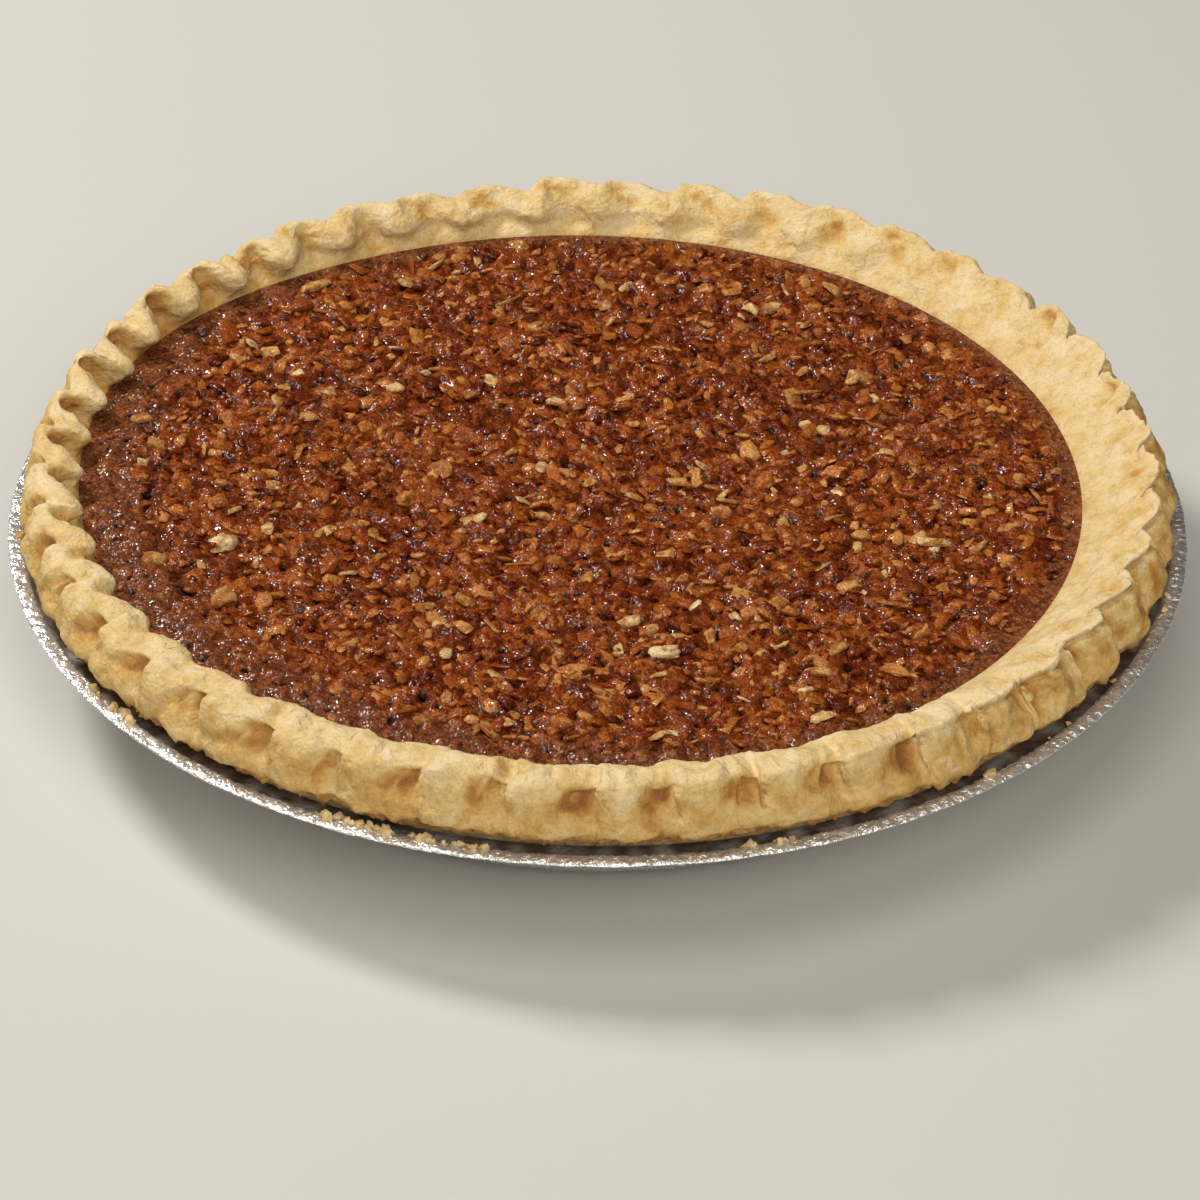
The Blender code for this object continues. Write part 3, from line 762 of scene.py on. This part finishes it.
def tin_path():
    """The foil's upper face from base to bead's end: radius, height, wrinkles, crimping, grease
    film with painted shade.
    """
    path = [(radius, TIN_FOIL, 0.0, 0.0, 0.0) for radius in (30.0, 60.0, 80.0)]
    path += [(radius, height, 0.05, 0.0, 0.0) for radius, height in tin_fillet(0.0, 3)]
    start, end = path[-1], (TIN_MOUTH_RADIUS, FLANGE_TOP)
    for share in (0.25, 0.5, 0.75, 1.0):
        radius, height = mix(start[0], end[0], share), mix(start[1], end[1], share)
        path.append((radius, height, 0.1, 0.0, 0.5 * share))
    # Full film on the flange: baked grease, and painted shade in the gap under the crust's lip.
    path += [(radius, FLANGE_TOP, 0.2, 0.1, 1.0) for radius in (113.5, 115.5, FLANGE_END - 0.5)]
    path.append((FLANGE_END, FLANGE_TOP, 0.2, 0.3, 0.8))
    half = BEAD_WIDTH / 2
    middle = (TIN_RADIUS - half, TIN_HEIGHT - half * BEAD_FLATNESS)
    bead = arc(middle, half, radians(172), radians(-108), BEAD_STEPS, BEAD_FLATNESS)
    for step, (radius, height) in enumerate(bead):
        crimped = 0.35 + 0.65 * bell(0.27 * BEAD_STEPS, 0.2 * BEAD_STEPS, step)
        path.append((radius, height, 0.15, crimped, 0.25 * (step < 2)))
    return np.array(path)


def tin_skins(path, azimuth):
    """Upper and lower skins of the foil, wrinkled alike, and the grease film with painted shade on
    them.
    """
    direction = unit(np.gradient(path[:, :2], axis=0))
    normal = pack(-direction[:, 1], direction[:, 0])
    around = on_turn(path[:, 0:1], azimuth, path[:, 1:2])
    along = np.cumsum(np.linalg.norm(np.diff(path[:, :2], axis=0, prepend=path[:1, :2]), axis=-1))
    pleated = on_turn(np.full((len(path), 1), TIN_RADIUS), azimuth, 0.35 * along[:, None])
    folds = 1.5 * np.abs(noise(pleated, 1.2, 8)) + 0.6 * np.abs(noise(around, 0.8, 9))
    pleats = noise(around, 6.0, 10)
    wrinkle, crimped = path[:, 2:3], path[:, 3:4]
    shift = -0.62 * crimped * folds - wrinkle * (1 + pleats)
    shift = np.clip(shift, -0.75 * BEAD_WIDTH * BEAD_FLATNESS / 2, 0.0)
    skins = []
    for depth in (0.0, TIN_FOIL):
        place = path[:, :2] - normal * depth
        radius = place[:, 0:1] + normal[:, 0:1] * shift
        height = place[:, 1:2] + normal[:, 1:2] * shift
        skins.append(on_turn(radius, azimuth, np.maximum(height, 0.0) - TIN_HEIGHT))
    film = path[:, 4:5] * np.clip(0.95 + 0.6 * noise(around, 5.0, 19), 0, 1)
    return skins, film


def make_tin(material):
    azimuth = np.arange(TIN_COLUMNS) * TURN / TIN_COLUMNS
    (upper, lower), film = tin_skins(tin_path(), azimuth)
    grid = np.concatenate((lower, upper[::-1]))
    film = np.concatenate((film * 0, film[::-1]))
    faces = closed_faces(len(grid), TIN_COLUMNS)
    vertices = np.concatenate((grid.reshape(-1, 3), ((0, 0, 0), (0, 0, TIN_FOIL))))
    marks = {"film": np.concatenate((film.ravel(), (0.0, 0.0)))}
    make_piece("foil_tin", vertices, faces, material, "tin", marks)


# ---- the filling

# How far in from its edge the filling is cake-like, by azimuth in degrees.
CAKE_AZIMUTHS = (0, 60, 120, 160, 235, 275, 320, 360)
CAKE_WIDTHS = (5, 4, 6, 17, 17, 9, 6, 5)
BED_CELLS = 296
BED_OVERLAP = 0.7
BED_CLEARANCE = 0.8
SKIRT_INSET = 2.2


def degrees_of(flat):
    return np.degrees(np.arctan2(flat[:, 1], flat[:, 0])) % 360


def filling_inset(flat):
    return filling_edge(np.arctan2(flat[:, 1], flat[:, 0])) - np.linalg.norm(flat, axis=-1)


def filling_level(flat):
    """Height of the baked surface above the table, with the solid's own broad bumps."""
    inset = filling_inset(flat)
    swell = FILLING_SWELL * smooth(0.0, FILLING_SWELL_INSET, inset)
    sag = (FILLING_SAG + FILLING_SWELL) * smooth(FILLING_RADIUS * 0.1, FILLING_RADIUS, inset)
    bumps = []
    for x, y in flat / RELIEF_GRAIN:
        bumps.append(
            blender_noise.noise(Vector((x, y, 0.0)))
            + blender_noise.noise(Vector((2 * x, 2 * y, 2 / (RELIEF_GRAIN * MM))))
        )
    level = TIN_HEIGHT + FILLING_EDGE_RISE + swell - sag
    return level + RELIEF_HEIGHT * np.array(bumps) * smooth(0.0, RELIEF_EDGE, inset)


def cake_share(flat, inset):
    """1 where the filling is fine and cake-like, near the edge and above all at the left."""
    width = np.interp(degrees_of(flat), CAKE_AZIMUTHS, CAKE_WIDTHS)
    wobble = noise(np.c_[flat, np.zeros(len(flat))], 14.0, 11)
    return 1 - smooth(0.35, 1.15, inset / width + 0.25 * wobble)


def open_pores(flat):
    """Depth, 0 to 1, of the small bubbles that burst at the surface."""
    offset, number = cells(flat, 4.2, 3)
    reach = np.linalg.norm(offset, axis=-1) / (0.35 + 0.75 * JITTER[number, 1] ** 2)
    return (1 - smooth(0.45, 1.1, reach)) * (JITTER[number, 0] > 0.35)


def nubs(flat, size, layer, tall):
    """Tipped, long lumps that lie close together, and a random share for each."""
    offset, number = cells(flat, size, layer, 1.35)
    reach = np.linalg.norm(offset, axis=-1) / size
    tip = GRADIENTS[number][:, :2]
    height = tall * (1 - 1.6 * reach ** 2) + 0.32 * np.sum(tip * offset, axis=-1)
    return height, JITTER[number, 1]


def bed_relief(flat, inset):
    """Height, painted shade and tint of nut lumps, open pores and the puffed roll at the left edge.
    """
    solid = np.c_[flat, np.zeros(len(flat))]
    cake = cake_share(flat, inset)
    large, tint = nubs(flat, 3.3, 1, 0.75)
    small, fine_tint = nubs(flat, 1.7, 2, 0.35)
    lumps = mix(0.75, 0.25, cake) * large + small + 0.2 * noise(solid, 1.3, 12) - 0.5
    lumps = lumps + 0.35 * noise(solid, 5.0, 13) * (1 - cake)
    pit = open_pores(flat)
    roll = plateau(150, 172, 205, 225, degrees_of(flat))
    crease_at = 14.5 + 2.0 * noise(solid, 16.0, 14)
    crease = bell(crease_at, 1.0, inset) * roll * smooth(-0.3, 0.3, noise(solid, 7.0, 15))
    height = lumps - 0.9 * pit - crease + 0.5 * roll * bell(8.0, 4.0, inset)
    fade = smooth(0.0, 2.5, inset)
    low = smooth(0.15, -0.75, lumps)
    # Painted shade in the pores, the crease and the low places between lumps.
    depth = np.clip(0.75 * pit + 0.6 * crease + 0.45 * low, 0, 0.9) * fade
    tint = 0.36 + 0.42 * (tint - 0.5) + 0.2 * (fine_tint - 0.5)
    return height * fade, depth, tint


def make_bed(material):
    """A closed body: a fine square net laid over the disc, its sides and its flat floor."""
    line = np.linspace(-1, 1, BED_CELLS + 1)
    a, b = np.meshgrid(line, line, indexing="ij")
    wide = np.abs(a) >= np.abs(b)
    reach = np.where(wide, np.abs(a), np.abs(b))
    side_of = np.where(np.where(wide, a, b) < 0, -1.0, 1.0)
    safe = np.maximum(reach, 1e-9) * side_of
    turn = np.where(wide, b / safe, 2 - a / safe) * pi / 4
    turn = turn + np.where(side_of < 0, pi, 0)
    spread = reach * (filling_edge(turn) + BED_OVERLAP)
    flat = pack(spread * np.cos(turn), spread * np.sin(turn)).reshape(-1, 2)
    inset = filling_inset(flat)
    relief, depth, tint = bed_relief(flat, inset)
    top = np.c_[flat, filling_level(flat) + relief]

    side = BED_CELLS + 1
    index = np.arange(side * side).reshape(side, side)
    quads = pack(index[:-1, :-1], index[1:, :-1], index[1:, 1:], index[:-1, 1:])
    rim = np.concatenate((index[:-1, 0], index[-1, :-1], index[:0:-1, -1], index[0, :0:-1]))
    azimuth = np.arctan2(top[rim, 1], top[rim, 0])
    skirt_height = FILLING_EDGE_RISE - FILLING_SKIRT_DROP
    skirt = on_turn(filling_edge(azimuth) - SKIRT_INSET, azimuth, skirt_height)
    own_inset = GAP + CRUST_THICKNESS + BED_CLEARANCE
    floor_height = TIN_FOIL + own_inset
    floor = on_turn(wall_radius(floor_height, own_inset), azimuth, floor_height - TIN_HEIGHT)
    around = len(rim)
    high = np.arange(around) + len(top)
    low = high + around
    middle = len(top) + 2 * around
    vertices = np.concatenate((top, skirt, floor, ((0, 0, floor_height),)))
    faces = [quads.reshape(-1, 4)]
    for lower, upper in ((low, high), (high, rim)):
        faces.append(pack(lower, np.roll(lower, -1), np.roll(upper, -1), upper))
    faces.append(fan_faces(low, middle, False))
    extra = np.zeros(2 * around + 1)
    marks = {
        "tint": np.concatenate((tint, extra + 0.3)),
        "cake": np.concatenate((cake_share(flat, inset), extra)),
        "depth": np.concatenate((depth, extra)),
    }
    make_piece("filling_bed", vertices, faces, material, "filling", marks)


def chunk_shapes(draw, count, sides):
    """Angular rounded chunks, each about 2 across, made from a divided cube; and their faces."""
    keys, corners, quads = {}, [], []

    def corner(key):
        if key not in keys:
            keys[key] = len(corners)
            corners.append(2 * np.array(key) / sides - 1)
        return keys[key]

    for axis, end, i, j in itertools.product(range(3), (0, sides), range(sides), range(sides)):
        ring = []
        for di, dj in ((0, 0), (1, 0), (1, 1), (0, 1)):
            key = (end, i + di, j + dj)
            ring.append(corner(key[-axis:] + key[:-axis]))
        quads.append(ring if end else ring[::-1])
    corners = np.array(corners)
    ball = unit(corners)
    roughness = 0.1 if sides == 2 else 0.05
    shapes = []
    for _ in range(count):
        shape = mix(corners * 0.8, ball, 0.55) + draw.normal(0, roughness, corners.shape)
        if sides > 2:
            shape = shape * (1 + 0.22 * noise(ball * 3, 1.1, int(draw.integers(50)))[:, None])
        for _ in range(4):
            plane = unit(draw.normal(size=3))
            over = np.maximum(0.0, shape @ plane - draw.uniform(0.55, 0.85))
            shape = shape - over[:, None] * plane
        shape = shape + 0.18 * draw.normal(size=3) * (shape[:, [0]] ** 2)
        shapes.append(shape)
    return np.array(shapes), np.array(quads)


def turns(spin, tilt, roll):
    """Rotation matrices: tipped by roll and tilt, then spun about the vertical."""
    total = np.eye(3)
    for angle, axis in ((spin, 2), (tilt, 1), (roll, 0)):
        matrix = np.tile(np.eye(3), (len(angle), 1, 1))
        first, second = (axis + 1) % 3, (axis + 2) % 3
        matrix[:, first, first] = matrix[:, second, second] = np.cos(angle)
        matrix[:, second, first] = np.sin(angle)
        matrix[:, first, second] = -np.sin(angle)
        total = total @ matrix
    return total


class Bits:
    """Loose pieces of one kind, collected and then made into one mesh."""

    def __init__(self, name, sides, seed):
        self.name = name
        self.draw = np.random.default_rng(seed)
        self.shapes, self.quads = chunk_shapes(self.draw, SHAPES_PER_KIND, sides)
        self.parts = []

    def lay(self, centre, size, tilt, tint, cake, spin=None):
        """Pieces at the centres, of the given sizes, tipped by about the tilt in degrees."""
        count = len(centre)
        if spin is None:
            spin = self.draw.uniform(0, TURN, count)
        angles = np.radians(self.draw.normal(0, 1, (2, count)) * tilt)
        kind = self.draw.integers(len(self.shapes), size=count)
        scaled = self.shapes[kind] * (size / 2)[:, None, :]
        turned = np.einsum("nij,nvj->nvi", turns(spin, *angles), scaled)
        self.parts.append((turned + centre[:, None, :], tint, cake))

    def make(self, material, slot, sharp=75):
        points, tint, cake = (np.concatenate(values) for values in zip(*self.parts))
        count, corners = points.shape[:2]
        quads = self.quads + (np.arange(count) * corners)[:, None, None]
        points, faces = points.reshape(-1, 3), [quads.reshape(-1, 4)]
        marks = {"tint": np.repeat(tint, corners), "cake": np.repeat(cake, corners)}
        marks["depth"] = np.zeros(count * corners)
        return make_piece(self.name, points, faces, material, None, marks, sharp)


# Bits that stand out: x, y, length, width, spin in degrees, tint.
LANDMARK_BITS = (
    (-75.5, -24.0, 7.0, 5.2, 10, 0.95),
    (-95.3, 24.0, 5.0, 3.6, 40, 0.55),
    (-61.4, 79.1, 8.5, 3.6, 35, 0.45),
    (-7.7, 34.2, 8.5, 3.0, 172, 0.75),
    (6.7, -48.1, 7.0, 3.6, 5, 0.7),
    (11.0, -51.5, 4.0, 3.0, 60, 0.6),
    (44.0, -82.2, 6.5, 3.4, 25, 0.8),
    (-76.7, 48.5, 8.0, 2.6, 120, 0.55),
    (-89.7, -28.8, 6.0, 4.4, 0, 0.35),
    (-75.2, -44.1, 6.0, 5.0, 30, 0.3),
    (-13.0, 63.7, 5.0, 3.4, 15, 0.5),
    (67.4, -19.6, 8.0, 2.8, 8, 0.7),
    (53.7, 43.9, 4.6, 3.4, 70, 0.65),
    (36.6, 72.5, 5.0, 3.6, 20, 0.6),
    (43.2, 26.9, 4.4, 3.2, 110, 0.7),
    (44.3, -67.7, 7.0, 3.2, 170, 0.5),
    (-42.7, 37.7, 4.2, 3.4, 50, 0.7),
    (-56.9, 34.9, 4.2, 3.0, 140, 0.65),
    (76.9, -22.0, 5.0, 3.0, 35, 0.55),
    (51.0, -36.0, 6.4, 4.0, 20, 0.55),
    (12.7, -60.8, 7.5, 3.6, 5, 0.98),
    (41.3, -72.3, 4.6, 1.6, 10, 1.0),
)


SHAPES_PER_KIND = 48
BIT_SPACING = 3.05
BIT_TILT = 20.0
LANDMARK_TILT = 7.0
SHRED_SPACING = 30.0
SHRED_TILT = 8.0
SHRED_LIFT = 0.9
CRUMB_TILT = 40.0
SHORTEST_BIT = 1.8
LONGEST_BIT = 6.0
# A bit's kind is a number up to 1; from these on it is amber, a flake, golden.
AMBER_FROM = 0.71
FLAKES_FROM = 0.72
GOLDEN_FROM = 0.92
# The cake share above which every bit is glazed.
CAKE_LIMIT = 0.6
LANDMARK_LIFT = 0.45


def bit_places(draw, spacing, margin):
    """Places on the filling in a loose, even scatter."""
    reach = FILLING_RADIUS + 4
    line = np.arange(-reach, reach, spacing)
    x, y = np.meshgrid(line, line * 0.94)
    flat = pack(x.ravel(), y.ravel())
    flat = flat + draw.uniform(-0.5, 0.5, flat.shape) * spacing * 1.1
    return flat[filling_inset(flat) > margin]


def lay_landmarks(bits):
    table = np.array(LANDMARK_BITS)
    spots = table[:, :2]
    heights = filling_level(spots) + LANDMARK_LIFT
    sizes = pack(table[:, 2], table[:, 3], table[:, 3] * 0.55)
    spins = np.radians(table[:, 4])
    bits.lay(np.c_[spots, heights], sizes, LANDMARK_TILT, table[:, 5], np.zeros(len(table)), spins)


def make_bits(coated, amber, golden):
    """Chopped nuts close together; amber and golden ones only where the filling isn't cake-like."""
    draw = np.random.default_rng(SEED + 7)
    flat = bit_places(draw, BIT_SPACING, margin=1.6)
    inset = filling_inset(flat)
    cake = cake_share(flat, inset)
    keep = (open_pores(flat) < 0.2) & (draw.random(len(flat)) > 0.6 * cake)
    flat, inset, cake = flat[keep], inset[keep], cake[keep]
    count = len(flat)
    length = np.clip(np.exp(draw.normal(1.16, 0.28, count)), SHORTEST_BIT, LONGEST_BIT)
    length = length * mix(1.0, 0.62, cake)
    width = length * draw.uniform(0.45, 0.8, count)
    thick = width * draw.uniform(0.4, 0.7, count)
    kind = draw.random(count)
    flake = (kind >= FLAKES_FROM)[:, None] * (0.3, 0.3, -0.15)
    size = pack(length, width, thick) * (1 + flake)
    level = filling_level(flat) + bed_relief(flat, inset)[0]
    level = level + draw.uniform(-0.35, 0.2, count) * thick
    centre = np.c_[flat, level]
    tint = np.clip(draw.normal(0.42, 0.3, count), 0.0, 1.0)
    bare = (kind >= AMBER_FROM) & (cake <= CAKE_LIMIT)
    kinds = (
        (Bits("coated_bits", 2, SEED + 1), coated, ~bare),
        (Bits("amber_bits", 2, SEED + 2), amber, bare & (kind < GOLDEN_FROM)),
        (Bits("golden_bits", 3, SEED + 3), golden, bare & (kind >= GOLDEN_FROM)),
    )
    for bits, material, chosen in kinds:
        bits.lay(centre[chosen], size[chosen], BIT_TILT, tint[chosen], cake[chosen])
        if bits.name == "golden_bits":
            lay_landmarks(bits)
        bits.make(material, "caramel_nuts")


def make_shreds(material):
    """Thin coconut shreds lying on the surface."""
    bits = Bits("coconut_shreds", 2, SEED + 4)
    draw = bits.draw
    flat = bit_places(draw, SHRED_SPACING, margin=8.0)
    count = len(flat)
    length = draw.uniform(4.5, 9.0, count)
    size = pack(length, draw.uniform(0.9, 1.5, count), draw.uniform(0.6, 0.9, count))
    centre = np.c_[flat, filling_level(flat) + SHRED_LIFT]
    tint = np.clip(draw.normal(0.3, 0.2, count), 0.0, 1.0)
    bits.lay(centre, size, SHRED_TILT, tint, np.zeros(count))
    bits.make(material, "caramel_nuts")


# Crumbs on the tin's rim: azimuth range in degrees and how many; and their height by radius.
CRUMB_STRETCHES = ((-148, -140, 16), (-117, -100, 60), (-76, -71, 14), (-60, 200, 26))
CRUMB_RADII = (FLANGE_END, 118.2, 119.8)
CRUMB_HEIGHTS = (-1.7, -0.6, 0.1)


def make_crumbs(material):
    """Pastry crumbs that fell on the tin's flange and bead."""
    bits = Bits("pastry_crumbs", 2, SEED + 5)
    draw = bits.draw
    for low, high, count in CRUMB_STRETCHES:
        azimuth = np.radians(draw.uniform(low, high, count))
        radius = draw.uniform(CRUMB_RADII[0], CRUMB_RADII[-1], count)
        size = draw.uniform(0.5, 1.5, (count, 1)) ** 2 * draw.uniform(0.6, 1.2, (count, 3)) + 0.25
        centre = on_turn(radius, azimuth, np.interp(radius, CRUMB_RADII, CRUMB_HEIGHTS))
        bits.lay(centre, size, CRUMB_TILT, draw.uniform(0.0, 0.35, count), np.zeros(count))
    piece = bits.make(material, "pastry", 60)
    piece.data.attributes["tint"].name = "toast_and_painted_shade"


# ---- floor, light and camera


def make_floor():
    bpy.ops.mesh.primitive_plane_add(size=6.0, location=(0, 0, 0))
    floor = bpy.context.object
    floor.name = "floor"
    material, _, _ = new_material("plain_table", Roughness=0.7, Base_Color=TABLE_COLOUR)
    floor.data.materials.append(material)


def aim(thing, target):
    thing.rotation_mode = "QUATERNION"
    direction = Vector(target) - thing.location
    thing.rotation_quaternion = direction.to_track_quat("-Z", "Y")


def soft_light(name, azimuth, elevation, distance, size, power, colour):
    data = bpy.data.lights.new(name, "AREA")
    data.shape = "DISK"
    data.size = size
    data.energy = power
    data.color = colour
    light = add_object(name, data)
    turn, rise = radians(azimuth), radians(elevation)
    flat = distance * cos(rise)
    light.location = (flat * cos(turn), flat * sin(turn), distance * sin(rise))
    aim(light, (0, 0, 0.03))


# The room's brightness behind the pie, over it and at the camera's side.
SKY_BACK = (0.026, 0.023, 0.019)
SKY_TOP = (0.15, 0.134, 0.107)
SKY_FRONT = (0.32, 0.3, 0.265)
# Lamps: name, azimuth, elevation, distance and size in metres, power, colour.
LIGHTS = (
    ("key", 146, 48, 1.5, 0.4, 15.8, (1.0, 0.97, 0.93)),
    ("top_fill", -100, 72, 1.8, 1.2, 9.0, (1.0, 0.97, 0.92)),
    ("front_fill", -75, 38, 1.8, 0.8, 9.0, (1.0, 0.97, 0.92)),
)
TABLE_COLOUR = (0.61, 0.6, 0.565, 1.0)


def make_lights():
    world = bpy.data.worlds.new("studio")
    SCENE.world = world
    world.use_nodes = True
    tree = world.node_tree
    direction = add(tree, "SeparateXYZ", {0: add(tree, "TexCoord").outputs["Generated"]})
    nearness = maths(tree, "MULTIPLY_ADD", direction.outputs["Y"], -0.5, 0.5)
    sky = ramp(tree, nearness, ((0.15, SKY_BACK), (0.45, SKY_TOP), (0.8, SKY_FRONT)))
    tree.links.new(sky, tree.nodes["Background"].inputs["Color"])
    for light in LIGHTS:
        soft_light(*light)
    SCENE.view_settings.view_transform = "Standard"
    SCENE.view_settings.look = "None"


# The photograph's view: the middle of the tin's rim is at this place in the frame.
VIEW_ELEVATION = radians(33.01)
VIEW_DISTANCE = 1.313
VIEW_ANGLE = radians(10.81)
VIEW_ROLL = radians(0.8)
FRAME_SIZE = 1200
RIM_CENTRE_OFFSET = (-2.0, -84.3)


def make_camera():
    data = bpy.data.cameras.new("camera")
    data.sensor_fit = "HORIZONTAL"
    data.angle = VIEW_ANGLE
    data.clip_start = 0.05
    camera = add_object("camera", data)
    rise = VIEW_ELEVATION
    focal = FRAME_SIZE / 2 / tan(VIEW_ANGLE / 2)
    centre = Vector((0, 0, TIN_HEIGHT * MM))
    camera.location = centre + VIEW_DISTANCE * Vector((0, -cos(rise), sin(rise)))
    look = (centre - camera.location).to_track_quat("-Z", "Y")
    dip = Quaternion((1, 0, 0), atan(RIM_CENTRE_OFFSET[1] / focal))
    pan = Quaternion((0, 1, 0), atan(RIM_CENTRE_OFFSET[0] / focal))
    camera.rotation_mode = "QUATERNION"
    camera.rotation_quaternion = look @ Quaternion((0, 0, 1), VIEW_ROLL) @ dip @ pan
    SCENE.camera = camera


def main():
    make_camera()
    make_floor()
    make_lights()
    pastry = pastry_material()
    make_tin(foil_material())
    make_crust(pastry)
    coated = caramel_material("caramel_coating", COATED, roughness=0.4, gloss=1.0)
    make_bed(coated)
    amber = caramel_material("amber_caramel", AMBER, roughness=0.4, gloss=0.7, cover=0.6)
    golden = caramel_material("golden_nuts", GOLDEN, roughness=0.45, gloss=0.45, cover=0.7)
    make_bits(coated, amber, golden)
    make_shreds(golden)
    make_crumbs(pastry)


main()

bpy.context.view_layer.update()
